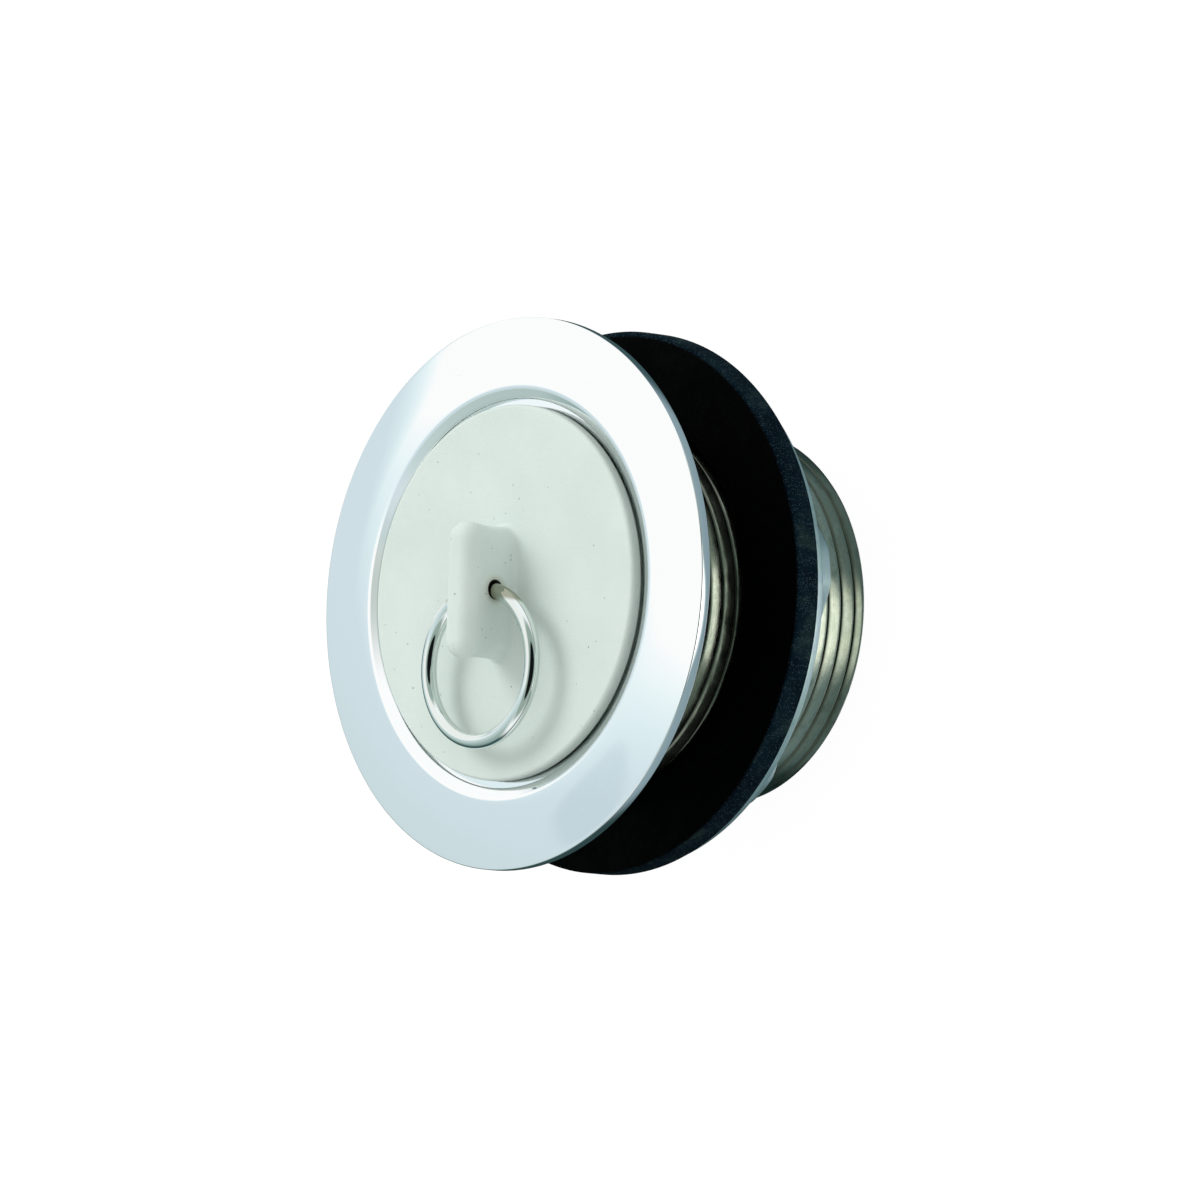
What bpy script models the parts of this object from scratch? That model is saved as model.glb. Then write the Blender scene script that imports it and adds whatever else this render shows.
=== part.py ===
"""Kitchen sink waste with a strainer plate, a rubber plug on a pull ring, a washer and a backnut.

The drain axis is +Z through the origin. The tube stands on its tail end at z = 0, with the flange on top.
The plug's pull lug runs along Y and the pull ring hangs towards -Y, turning about X. Metres throughout.
"""
import math

import bmesh
import bpy
from mathutils import Matrix

# Waste body: flange, seat and threaded tube
BODY_HEIGHT = 0.0390            # tail end to the front edge of the flange's rim
FLANGE_DIAMETER = 0.0700
FLANGE_RIM = 0.0014             # thickness of the rim
RIM_ROUND = 0.00035             # rounding of the rim's two edges
FLANGE_CONE = 0.00065           # rise of the face from the rim to the opening
LIP_ROUND = 0.0014             # radius of the lip round the opening
LIP_GAP = 0.00085               # from the lip's inner side to the edge of the plug's face
BOSS_WALL = 0.00085             # wall of the shoulder that centres the flange in the sink's hole
BOSS_DEPTH = 0.0020
THREAD_DIAMETER = 0.0480        # over the crests of the thread
NECK_WALL = 0.0018              # tube's wall at the plug's neck
BORE_WALL = 0.0036              # tube's wall at the bore
EDGE_CHAMFER = 0.0003

# Rubber plug
PLUG_PROUD = 0.00075            # the face stands this far above the lip
PLUG_ROUND = 0.0005             # rounding of the face's edge
PLUG_HEAD = 0.0046              # depth of the flared head
PLUG_FLARE = 0.0019             # the head grows by this much on each side
PLUG_BODY = 0.0082              # depth of the tapered body
PLUG_TAPER = 0.00085            # the body shrinks by this much on each side
PLUG_WALL = 0.0035              # wall round the hollow in the underside
PLUG_HOLLOW = 0.0062            # depth of that hollow

# Pull lug moulded on the plug
TAB_LENGTH = 0.0174
TAB_WIDTH = 0.0053
TAB_HEIGHT = 0.0082
TAB_FILLET = 0.0008             # where the lug grows out of the face
TAB_ROUND = 0.0020              # rounding of its tip
TAB_DRAFT = 0.00025             # each side leans in by this much at the tip
TAB_END_FLAT = 0.0005           # flat left in the middle of each rounded end
EYE_HEIGHT = 0.0033             # cross hole above the plug's face

# Pull ring
RING_DIAMETER = 0.0192          # to the middle of the wire
WIRE_DIAMETER = 0.0020

# Strainer plate under the plug
GRID_THICKNESS = 0.0012
GRID_HEADROOM = 0.0012          # from the plate to the plug's foot
GRID_HOLE_DIAMETER = 0.0046
GRID_CIRCLES = 2                # circles of holes round the middle one
GRID_RIM = 0.0037               # metal left outside the last circle, within the bore

# Sealing washer
WASHER_WIDTH = 0.0103           # from its hole to its edge
WASHER_THICKNESS = 0.0035
WASHER_ROUND = 0.0003
CLAMP_SPACE = 0.0157            # underside of the flange to the washer

# Backnut: a thin flange over a hexagon with turned corners
NUT_WIDTH = 0.0092              # from its hole to the edge of its flange
NUT_FLANGE = 0.0016
NUT_HEIGHT = 0.0061
NUT_SIDES = 6
NUT_WALL = 0.0033               # from its hole to a flat
NUT_CORNER_REACH = 0.0029       # a corner lies this much further out than a flat
NUT_TURN = math.radians(9)
NUT_BEVEL = 0.0005

# Clearances
FIT_GAP = 0.0003                # between pieces that touch on the real object

# Smoothness of the turned shapes
TURN_STEPS = 80
WIRE_SIDES = 12
ARC_STEPS = 4
CORNER_STEPS = 6
NUT_FLAT_STEPS = 8
NUT_CORNER_STEPS = 3
HOLE_SIDES = 20

# Radii that follow from the sizes
THREAD_RADIUS = THREAD_DIAMETER / 2
THREAD_CLEAR_RADIUS = THREAD_RADIUS + FIT_GAP
BORE_RADIUS = THREAD_RADIUS - BORE_WALL
SEAT_NECK_RADIUS = THREAD_RADIUS - NECK_WALL
PLUG_NECK_RADIUS = SEAT_NECK_RADIUS - FIT_GAP
PLUG_FACE_RADIUS = PLUG_NECK_RADIUS + PLUG_FLARE
PLUG_FOOT_RADIUS = PLUG_NECK_RADIUS - PLUG_TAPER
SEAT_FOOT_RADIUS = PLUG_FOOT_RADIUS + FIT_GAP
LIP_INNER_RADIUS = PLUG_FACE_RADIUS + LIP_GAP
NUT_FLAT_RADIUS = THREAD_CLEAR_RADIUS + NUT_WALL
NUT_CORNER_RADIUS = NUT_FLAT_RADIUS + NUT_CORNER_REACH

# Rounding of the lug's two ends, seen from above
TAB_CORNER = (TAB_WIDTH - TAB_END_FLAT) / 2

# The ring bows inside its eye by the rise of an arc over the lug's width
RING_BOW = RING_DIAMETER / 2 - math.sqrt((RING_DIAMETER ** 2 - TAB_WIDTH ** 2) / 4)
EYE_RADIUS = (WIRE_DIAMETER + RING_BOW) / 2 + FIT_GAP

# Heights that follow from the sizes
FLANGE_UNDERSIDE = BODY_HEIGHT - FLANGE_RIM
BOSS_FOOT = FLANGE_UNDERSIDE - BOSS_DEPTH
LIP_TOP = BODY_HEIGHT + FLANGE_CONE
PLUG_FACE = LIP_TOP + PLUG_PROUD
PLUG_NECK = PLUG_FACE - PLUG_HEAD
PLUG_FOOT = PLUG_NECK - PLUG_BODY
GRID_TOP = PLUG_FOOT - GRID_HEADROOM
GRID_FOOT = GRID_TOP - GRID_THICKNESS
LEDGE = GRID_FOOT - FIT_GAP
WASHER_FOOT = FLANGE_UNDERSIDE - CLAMP_SPACE - WASHER_THICKNESS
NUT_TOP = WASHER_FOOT - FIT_GAP


def clear_file():
    """Remove every object that the file holds."""
    for old in list(bpy.data.objects):
        bpy.data.objects.remove(old, do_unlink=True)


def material(name, colour, roughness, metallic):
    """A Principled surface of one colour."""
    made = bpy.data.materials.new(name)
    made.use_nodes = True
    shader = made.node_tree.nodes["Principled BSDF"]
    shader.inputs["Base Color"].default_value = (*colour, 1.0)
    shader.inputs["Roughness"].default_value = roughness
    shader.inputs["Metallic"].default_value = metallic
    made.diffuse_color = (*colour, 1.0)
    return made


def arc(centre, radius, start, end, steps=ARC_STEPS):
    """Points (r, z) on a round, from the start angle to the end angle in degrees."""
    points = []
    for step in range(steps + 1):
        angle = math.radians(start + (end - start) * step / steps)
        points.append((centre[0] + radius * math.cos(angle), centre[1] + radius * math.sin(angle)))
    return points


def turned(profile, closed=True):
    """Spin a profile of (r, z) points about the Z axis into a solid."""
    bm = bmesh.new()
    corners = [bm.verts.new((r, 0.0, z)) for r, z in profile]
    edges = [bm.edges.new(pair) for pair in zip(corners, corners[1:])]
    if closed:
        edges.append(bm.edges.new((corners[-1], corners[0])))
    bmesh.ops.spin(bm, geom=corners + edges, axis=(0, 0, 1), angle=2 * math.pi, steps=TURN_STEPS)
    bmesh.ops.remove_doubles(bm, verts=bm.verts, dist=1e-6)
    bmesh.ops.recalc_face_normals(bm, faces=bm.faces)
    return bm


def lofted(bm, outlines, closed=False):
    """Join outlines of equally many points. If closed, the last joins the first; otherwise both get a cap."""
    loops = [[bm.verts.new(point) for point in outline] for outline in outlines]
    for lower, upper in zip(loops, loops[1:] + loops[:closed]):
        for here in range(len(lower)):
            after = (here + 1) % len(lower)
            bm.faces.new((lower[here], lower[after], upper[after], upper[here]))
    if not closed:
        bm.faces.new(loops[0])
        bm.faces.new(loops[-1])


def drill(bm, radius, depth, place):
    """Add a round cutter at a place."""
    bmesh.ops.create_cone(
        bm, cap_ends=True, segments=HOLE_SIDES, radius1=radius, radius2=radius, depth=depth, matrix=place
    )


def piece(name, bm, finish, place=(0.0, 0.0, 0.0), parent=None):
    """Turn a bmesh into a named object, smooth where it is round."""
    mesh = bpy.data.meshes.new(name)
    bm.to_mesh(mesh)
    bm.free()
    mesh.materials.append(finish)
    mesh.shade_smooth()
    mesh.set_sharp_from_angle(angle=math.radians(35))
    made = bpy.data.objects.new(name, mesh)
    made.location = place
    made.parent = parent
    bpy.context.scene.collection.objects.link(made)
    return made


def boolean(target, cutter, operation):
    """Join or cut with another object, which is kept as a hidden guide."""
    cutter.hide_render = True
    cutter.display_type = "WIRE"
    step = target.modifiers.new(cutter.name, "BOOLEAN")
    step.operation = operation
    step.solver = "EXACT"
    step.object = cutter


def waste_body(finish):
    """Flange, lip, plug seat, ledge and threaded tube, turned in one."""
    rim_radius = FLANGE_DIAMETER / 2 - RIM_ROUND
    boss_radius = LIP_INNER_RADIUS + BOSS_WALL
    profile = [(BORE_RADIUS, 0.0), (BORE_RADIUS, LEDGE), (SEAT_FOOT_RADIUS, LEDGE)]
    profile += [(SEAT_FOOT_RADIUS, PLUG_FOOT), (SEAT_NECK_RADIUS, PLUG_NECK)]
    profile += arc((LIP_INNER_RADIUS + LIP_ROUND, LIP_TOP - LIP_ROUND), LIP_ROUND, 180, 90)
    profile += arc((rim_radius, BODY_HEIGHT - RIM_ROUND), RIM_ROUND, 90, 0)
    profile += arc((rim_radius, FLANGE_UNDERSIDE + RIM_ROUND), RIM_ROUND, 0, -90)
    profile += [(boss_radius, FLANGE_UNDERSIDE), (boss_radius, BOSS_FOOT + EDGE_CHAMFER)]
    profile += [(boss_radius - EDGE_CHAMFER, BOSS_FOOT), (THREAD_RADIUS, BOSS_FOOT)]
    profile += [(THREAD_RADIUS, EDGE_CHAMFER), (THREAD_RADIUS - EDGE_CHAMFER, 0.0)]
    return piece("waste_body", turned(profile), finish)


def strainer_grid(finish):
    """Round plate with circles of drain holes, lying on the ledge under the plug."""
    radius = SEAT_FOOT_RADIUS - FIT_GAP
    profile = [(0.0, GRID_FOOT), (radius, GRID_FOOT), (radius, GRID_TOP), (0.0, GRID_TOP)]
    plate = piece("strainer_grid", turned(profile, closed=False), finish)
    hole_radius = GRID_HOLE_DIAMETER / 2
    pitch = (BORE_RADIUS - GRID_RIM - hole_radius) / GRID_CIRCLES
    holes = bmesh.new()
    for circle in range(GRID_CIRCLES + 1):
        count = max(6 * circle, 1)
        for number in range(count):
            turn = Matrix.Rotation(2 * math.pi * number / count, 4, "Z")
            place = turn @ Matrix.Translation((circle * pitch, 0.0, (GRID_FOOT + GRID_TOP) / 2))
            drill(holes, hole_radius, 3 * GRID_THICKNESS, place)
    boolean(plate, piece("strainer_holes", holes, finish), "DIFFERENCE")
    return plate


def stopper_plug(finish):
    """Plug with a flared head over a tapered body, hollow below, with its origin at its face."""
    foot = -PLUG_HEAD - PLUG_BODY
    hollow_radius = PLUG_FOOT_RADIUS - PLUG_WALL
    hollow_top = foot + PLUG_HOLLOW
    profile = [(0.0, 0.0)] + arc((PLUG_FACE_RADIUS - PLUG_ROUND, -PLUG_ROUND), PLUG_ROUND, 90, 0)
    profile += [(PLUG_NECK_RADIUS, -PLUG_HEAD)]
    profile += arc((PLUG_FOOT_RADIUS - PLUG_ROUND, foot + PLUG_ROUND), PLUG_ROUND, 0, -90)
    profile += [(hollow_radius, foot), (hollow_radius - PLUG_ROUND, hollow_top - PLUG_ROUND)]
    profile += [(hollow_radius - 2 * PLUG_ROUND, hollow_top), (0.0, hollow_top)]
    return piece("stopper_plug", turned(profile, closed=False), finish, place=(0.0, 0.0, PLUG_FACE))


def tab_outline(growth, height):
    """Rounded rectangle at one height of the lug, its long side along Y, each side moved out by growth."""
    corner = TAB_CORNER + growth
    points = []
    for quarter, (side, end) in enumerate(((1, 1), (-1, 1), (-1, -1), (1, -1))):
        centre = (side * (TAB_WIDTH / 2 - TAB_CORNER), end * (TAB_LENGTH / 2 - TAB_CORNER))
        for x, y in arc(centre, corner, 90 * quarter, 90 * quarter + 90, CORNER_STEPS):
            points.append((x, y, height))
    return points


def pull_tab(finish, plug):
    """Tongue-like lug: rounded rectangles lofted from a filleted root to a rounded tip."""
    outlines = [tab_outline(TAB_FILLET, -TAB_FILLET)]
    for growth, height in arc((TAB_FILLET, TAB_FILLET), TAB_FILLET, 270, 180):
        outlines.append(tab_outline(growth, height))
    for growth, height in arc((-TAB_ROUND - TAB_DRAFT, TAB_HEIGHT - TAB_ROUND), TAB_ROUND, 0, 90):
        outlines.append(tab_outline(growth, height))
    bm = bmesh.new()
    lofted(bm, outlines)
    bmesh.ops.recalc_face_normals(bm, faces=bm.faces)
    return piece("pull_tab_shape", bm, finish, parent=plug)


def tab_eye(finish, plug):
    """Cross hole through the lug, along X."""
    bm = bmesh.new()
    drill(bm, EYE_RADIUS, 4 * TAB_WIDTH, Matrix.Rotation(math.radians(90), 4, "Y"))
    return piece("tab_eye_shape", bm, finish, place=(0.0, 0.0, EYE_HEIGHT), parent=plug)


def pull_ring(finish, plug):
    """Closed ring of round wire with its origin in the lug's eye, where half its bow lies each side."""
    radius = RING_DIAMETER / 2
    bm = turned(arc((radius, 0.0), WIRE_DIAMETER / 2, 0, 360, WIRE_SIDES)[:-1])
    bmesh.ops.translate(bm, vec=(0.0, RING_BOW / 2 - radius, 0.0), verts=bm.verts)
    return piece("pull_ring", bm, finish, place=(0.0, 0.0, EYE_HEIGHT), parent=plug)


def rubber_washer(finish):
    """Flat ring round the thread, its edges just broken."""
    inner = THREAD_CLEAR_RADIUS
    edge_radius = inner + WASHER_WIDTH - WASHER_ROUND
    profile = [(inner, 0.0), (inner, WASHER_THICKNESS)]
    profile += arc((edge_radius, WASHER_THICKNESS - WASHER_ROUND), WASHER_ROUND, 90, 0, 2)
    profile += arc((edge_radius, WASHER_ROUND), WASHER_ROUND, 0, -90, 2)
    return piece("rubber_washer", turned(profile), finish, place=(0.0, 0.0, WASHER_FOOT))


def nut_loop(height, radius=None, inset=0.0):
    """Points round the nut at one height: a circle, or without a radius the hexagon moved in by an inset."""
    side = 2 * math.pi / NUT_SIDES
    half = math.acos(NUT_FLAT_RADIUS / NUT_CORNER_RADIUS)
    angles = [half * (2 * step / NUT_FLAT_STEPS - 1) for step in range(NUT_FLAT_STEPS)]
    angles += [half + (side - 2 * half) * step / NUT_CORNER_STEPS for step in range(NUT_CORNER_STEPS)]
    points = []
    for number in range(NUT_SIDES):
        for angle in angles:
            reach = radius or min(NUT_FLAT_RADIUS / math.cos(angle), NUT_CORNER_RADIUS) - inset
            turn = NUT_TURN + side * (number + 0.5) + angle
            points.append((reach * math.cos(turn), reach * math.sin(turn), height))
    return points


def backnut(finish, washer):
    """Flanged hexagonal nut, under the washer and carried with it: one loft up the hexagon, over the flange
    and down the hole."""
    inner = THREAD_CLEAR_RADIUS
    edge = NUT_FLANGE / 4
    rim = inner + NUT_WIDTH - edge
    loops = [nut_loop(-NUT_HEIGHT, inset=NUT_BEVEL), nut_loop(NUT_BEVEL - NUT_HEIGHT), nut_loop(-NUT_FLANGE)]
    circles = arc((rim, edge - NUT_FLANGE), edge, -90, 0, 2) + arc((rim, -edge), edge, 0, 90, 2)
    circles += [(inner, 0.0), (inner, -NUT_HEIGHT)]
    loops += [nut_loop(height, radius) for radius, height in circles]
    bm = bmesh.new()
    lofted(bm, loops, closed=True)
    bmesh.ops.recalc_face_normals(bm, faces=bm.faces)
    return piece("backnut", bm, finish, place=(0.0, 0.0, NUT_TOP - WASHER_FOOT), parent=washer)


def build():
    """Make every piece in its place."""
    clear_file()
    chrome = material("chromed brass", (0.80, 0.82, 0.84), 0.08, 1.0)
    steel = material("stainless steel", (0.62, 0.63, 0.64), 0.25, 1.0)
    rubber = material("off-white rubber", (0.66, 0.69, 0.66), 0.55, 0.0)
    black = material("black rubber", (0.008, 0.010, 0.013), 0.60, 0.0)
    zinc = material("zinc plate", (0.36, 0.42, 0.46), 0.40, 1.0)

    waste_body(chrome)
    strainer_grid(steel)
    plug = stopper_plug(rubber)
    boolean(plug, pull_tab(rubber, plug), "UNION")
    boolean(plug, tab_eye(rubber, plug), "DIFFERENCE")
    pull_ring(chrome, plug)
    washer = rubber_washer(black)
    backnut(zinc, washer)


build()
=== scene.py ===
# %% [markdown]
# # A kitchen sink waste with a rubber plug
#
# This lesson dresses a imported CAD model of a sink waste. The CAD model is the frame: it says
# where each piece is and which pieces move together. Here each piece gets its fine shape, which
# is worked out with numpy, and a finish made of shader nodes.
#
# The drain axis is Z. The tube stands on its tail end at z = 0 and the flange is on top. The
# plug's lug runs along Y, and the pull ring lies towards -Y. Lengths are in metres, and `MM`
# turns a millimetre into one.

# %% Load the frame
import math

import bmesh
import bpy
import numpy as np
from mathutils import Matrix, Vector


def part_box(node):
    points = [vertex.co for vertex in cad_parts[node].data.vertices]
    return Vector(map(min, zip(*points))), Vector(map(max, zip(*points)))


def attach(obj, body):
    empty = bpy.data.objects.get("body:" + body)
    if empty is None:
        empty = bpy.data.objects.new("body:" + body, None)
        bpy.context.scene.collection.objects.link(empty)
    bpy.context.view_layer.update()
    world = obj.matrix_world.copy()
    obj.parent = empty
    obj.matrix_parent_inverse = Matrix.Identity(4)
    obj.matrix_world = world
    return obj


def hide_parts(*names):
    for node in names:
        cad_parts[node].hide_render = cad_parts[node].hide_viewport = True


MM = 0.001
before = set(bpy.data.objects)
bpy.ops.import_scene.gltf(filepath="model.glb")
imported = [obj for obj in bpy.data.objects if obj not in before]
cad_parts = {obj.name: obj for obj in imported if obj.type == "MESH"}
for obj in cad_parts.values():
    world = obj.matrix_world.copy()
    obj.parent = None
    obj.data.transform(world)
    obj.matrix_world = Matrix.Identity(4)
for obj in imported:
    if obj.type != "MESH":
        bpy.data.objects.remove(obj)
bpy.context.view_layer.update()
print("CAD nodes:", sorted(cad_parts))

# %% [markdown]
# ## Measuring the frame
#
# The frame's pieces carry the true sizes. Each new piece takes its place from the box round its
# CAD node, so the new shapes stay where the solids are.

# %% Places taken from the frame
def low_high(node):
    """The lowest and the highest z of a CAD node, and its greatest radius from the drain axis."""
    low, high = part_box(node)
    return low.z, high.z, high.x


TAIL, LIP_TOP, FLANGE_RADIUS = low_high("waste_body")
GRID_FOOT, GRID_TOP, GRID_RADIUS = low_high("strainer_grid")
PLUG_FOOT, LUG_TIP, PLUG_RADIUS = low_high("stopper_plug")
WASHER_FOOT, WASHER_TOP, WASHER_RADIUS = low_high("rubber_washer")
NUT_FOOT, NUT_TOP, NUT_RADIUS = low_high("backnut")
EYE_Z = sum(corner.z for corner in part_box("pull_ring")) / 2
print(f"flange {2000 * FLANGE_RADIUS:.1f} mm across, lip at {1000 * LIP_TOP:.2f} mm")

# %% [markdown]
# ## Surfaces as grids
#
# Almost every piece here is turned on a lathe or moulded round an axis. Such a surface is a
# grid: one parameter goes round the axis and the other along a profile. A profile is a list of
# (radius, height) points, made of straight lines and of arcs for the rounded edges. The helpers
# below build profiles, sweep them, and join neighbouring grid points into four-sided faces.

# %% Helpers for profiles and grids
def arc(centre, radius, start, end, steps=6):
    """Points on a circle: centre + radius * (cos, sin), the angle running evenly from start to end."""
    angle = np.radians(np.linspace(start, end, steps + 1))
    return np.stack([centre[0] + radius * np.cos(angle), centre[1] + radius * np.sin(angle)], 1)


def line(start, end, steps=1, ends=(True, True)):
    """Evenly spaced points on a straight line, with or without its two end points."""
    share = np.linspace(0, 1, steps + 1)[0 if ends[0] else 1 : None if ends[1] else -1, None]
    return (1 - share) * np.array(start) + share * np.array(end)


def turned(profile, columns):
    """Sweep a profile round Z: x = r cos a, y = r sin a, for evenly spaced angles a."""
    angle = 2 * np.pi * np.arange(columns) / columns
    radius, height = profile[:, :1], profile[:, 1:]
    return np.stack([radius * np.cos(angle), radius * np.sin(angle), height + 0 * angle], 2)


def quads(numbers):
    """Faces between the rows of a grid of point numbers, whose columns run once round."""
    after = np.roll(numbers, -1, axis=1)
    corners = [numbers[:-1], after[:-1], after[1:], numbers[1:]]
    return np.stack(corners, 2).reshape(-1, 4).tolist()


def grid_numbers(rows, columns, first=0):
    """Point numbers of a grid that is stored row after row."""
    return first + np.arange(rows * columns).reshape(rows, columns)


def capped_faces(numbers):
    """The faces of a grid of point numbers, with a flat face on its first row and on its last."""
    return quads(numbers) + [numbers[0].tolist(), numbers[-1].tolist()]


# %% Helpers that make objects
def closed_piece(name, mesh):
    """Merge the points that lie on one another, turn all faces outwards, and make the object."""
    bm = bmesh.new()
    bm.from_mesh(mesh)
    bmesh.ops.remove_doubles(bm, verts=bm.verts, dist=0.000001)
    bmesh.ops.recalc_face_normals(bm, faces=bm.faces)
    open_edges = sum(not edge.is_manifold for edge in bm.edges)
    bm.to_mesh(mesh)
    bm.free()
    piece = bpy.data.objects.new(name, mesh)
    bpy.context.scene.collection.objects.link(piece)
    print(f"{name}: {len(mesh.polygons)} faces, {open_edges} open edges")
    return piece


def make_piece(name, points, faces):
    """Put points and faces into a mesh object."""
    mesh = bpy.data.meshes.new(name)
    mesh.from_pydata(points.reshape(-1, 3), [], faces)
    return closed_piece(name, mesh)


def capped_piece(name, points):
    """A grid of points as a closed piece: flat faces on its first and last rows."""
    return make_piece(name, points, capped_faces(grid_numbers(*points.shape[:2])))


def smooth_by_angle(piece, degrees):
    """Shade the faces smoothly, and keep edges crisp where they bend by more than an angle."""
    piece.data.shade_smooth()
    piece.data.set_sharp_from_angle(angle=math.radians(degrees))


def ring_piece(name, profile, columns, shift=0.0):
    """A closed profile swept round Z into a ring and shifted along Y: the last row joins the first."""
    points = turned(profile, columns) + (0.0, shift, 0.0)
    numbers = grid_numbers(*points.shape[:2])
    return make_piece(name, points, quads(np.vstack([numbers, numbers[:1]])))


# %% Helpers that cut a piece and hand it over
def cut(piece, cutter):
    """Take the cutter's shape out of a piece, put the result in its mesh, and drop the cutter."""
    step = piece.modifiers.new("cut", "BOOLEAN")
    step.operation, step.solver, step.object = "DIFFERENCE", "EXACT", cutter
    result = bpy.data.meshes.new_from_object(
        piece.evaluated_get(bpy.context.evaluated_depsgraph_get())
    )
    piece.modifiers.clear()
    piece.data = result
    bpy.data.objects.remove(cutter)


def settle(piece, body, node, slot, *finishes):
    """Give a piece its finishes, let it ride on its CAD body and stand for its CAD node."""
    for finish in finishes:
        piece.data.materials.append(finish)
    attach(piece, body)
    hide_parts(node)
    print(f"{piece.name}: {len(piece.data.polygons)} faces, on {body}")


# %% [markdown]
# ## Shader nodes in short form
#
# A finish here is a small network of nodes. The helper adds one node, links or sets its
# sockets, and gives back its output, so a network reads like a formula.

# %% Helpers for shader nodes
def add(tree, kind, *values, out=0, **settings):
    """Add a node. Values go to its sockets in order: numbers are set, sockets are linked."""
    made = tree.nodes.new("ShaderNode" + kind)
    for name, setting in settings.items():
        setattr(made, name, setting)
    for socket, value in zip(made.inputs, values):
        if isinstance(value, bpy.types.NodeSocket):
            tree.links.new(value, socket)
        elif value is not None:
            socket.default_value = value
    return made.outputs[out]


def calc(tree, operation, *values):
    """A Math node."""
    return add(tree, "Math", *values, operation=operation)


def fade(tree, value, start, end, low=0.0, high=1.0):
    """A smooth step of a value from start to end, given between low and high."""
    return add(tree, "MapRange", value, start, end, low, high, interpolation_type="SMOOTHSTEP")


def blend(tree, share, first, second, how="MIX"):
    """Mix two colours."""
    made = tree.nodes.new("ShaderNodeMix")
    made.data_type, made.blend_type = "RGBA", how
    for name, value in (("Factor_Float", share), ("A_Color", first), ("B_Color", second)):
        socket = next(s for s in made.inputs if s.identifier == name)
        if isinstance(value, bpy.types.NodeSocket):
            tree.links.new(value, socket)
        else:
            socket.default_value = value if name == "Factor_Float" else (*value, 1.0)
    return next(s for s in made.outputs if s.identifier == "Result_Color")


def ramp(tree, value, stops):
    """A Color Ramp from a list of (place, colour)."""
    made = tree.nodes.new("ShaderNodeValToRGB")
    elements = made.color_ramp.elements
    while len(elements) < len(stops):
        elements.new(1.0)
    for element, (place, colour) in zip(elements, stops):
        element.position, element.color = place, (*colour, 1.0)
    tree.links.new(value, made.inputs[0])
    return made.outputs[0]


# %% Helpers for patterns and finishes
def noise(tree, place, scale, detail=2.0, roughness=0.5, stretch=(1, 1, 1), turn=(0, 0, 0)):
    """A Noise Texture on Object coordinates in millimetres, stretched and turned by a Mapping node."""
    size = tuple(scale * s / MM for s in stretch)
    mapped = add(tree, "Mapping", place, (0, 0, 0), turn, size)
    return add(tree, "TexNoise", mapped, None, 1.0, detail, roughness)


def finish(name, colour, roughness, metallic=0.0):
    """A new material with a Principled shader: it, its tree, its shader and its Object coordinates."""
    made = bpy.data.materials.new(name)
    made.use_nodes = True
    tree = made.node_tree
    shader = tree.nodes["Principled BSDF"]
    shader.inputs["Base Color"].default_value = (*colour, 1.0)
    shader.inputs["Roughness"].default_value = roughness
    shader.inputs["Metallic"].default_value = metallic
    made.diffuse_color = (*colour, 1.0)
    return made, tree, shader, add(tree, "TexCoord", out=3)


def bump(tree, shader, height, depth, base=None):
    """Tilt the shader's normal by a height map of the given depth, over another bump if there is one."""
    normal = add(tree, "Bump", 1.0, depth, 0.1, height, base)
    tree.links.new(normal, shader.inputs["Normal"])
    return normal


# %% [markdown]
# ## Polished chrome
#
# The flange and the pull ring are chrome plated and polished, so they look like what they
# reflect. What makes such a surface real is what polishing leaves behind: hairline scratches in
# a few directions, and a faint waviness. A scratch is a noise pattern stretched a hundredfold
# along one direction and cut off near its top, so that only thin lines remain. Where the ring
# turns in the lug's hole a dull film has gathered, so the finish also measures how far a point
# lies from the hole's axis.

# %% Chrome
def scratches(tree, place, turn, width, length, share):
    """Thin lines of the given width and length in mm: stretched noise, kept only above a threshold."""
    pattern = noise(tree, place, 1.0, 0.0, 0.5, (1 / length, 1 / width, 1 / width), turn)
    return fade(tree, pattern, share, share + 0.05)


def from_eye_axis(tree, place):
    """Distance from the axis of the lug's cross hole: the length of (y, z) from the hole's height."""
    away = add(tree, "VectorMath", place, (0, 0, EYE_Z), operation="SUBTRACT")
    across = add(tree, "VectorMath", away, (0, 1, 1), operation="MULTIPLY")
    return add(tree, "VectorMath", across, operation="LENGTH", out=1)


def polished_chrome(name, colour):
    """Bright metal with hairlines in three directions and a faint orange peel, dull at the cross hole."""
    made, tree, shader, place = finish(name, colour, 0.04, 1.0)
    lines = calc(
        tree,
        "MAXIMUM",
        scratches(tree, place, (0.0, 0.0, 0.9), 0.05, 9.0, 0.84),
        calc(
            tree,
            "MAXIMUM",
            scratches(tree, place, (0.0, 0.0, 2.3), 0.05, 6.0, 0.85),
            scratches(tree, place, (0.3, 0.0, -0.3), 0.06, 12.0, 0.85),
        ),
    )
    haze = noise(tree, place, 0.12, 3.0)
    rough = calc(tree, "ADD", fade(tree, haze, 0.35, 0.75, 0.03, 0.07), calc(tree, "MULTIPLY", lines, 0.12))
    tree.links.new(rough, shader.inputs["Roughness"])
    dull = blend(tree, calc(tree, "MULTIPLY", lines, 0.15), colour, tuple(0.72 * c for c in colour))
    film = fade(tree, from_eye_axis(tree, place), 1.3 * MM, 1.9 * MM, 0.85, 0.0)
    tree.links.new(blend(tree, film, dull, (0.30, 0.31, 0.22)), shader.inputs["Base Color"])
    peel = bump(tree, shader, noise(tree, place, 0.9, 2.0), 0.0000004)
    bump(tree, shader, lines, 0.000001, peel)
    return made


flange_chrome = polished_chrome("polished chrome", (0.93, 0.955, 0.965))
ring_chrome = polished_chrome("ring chrome", (0.79, 0.84, 0.82))

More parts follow.
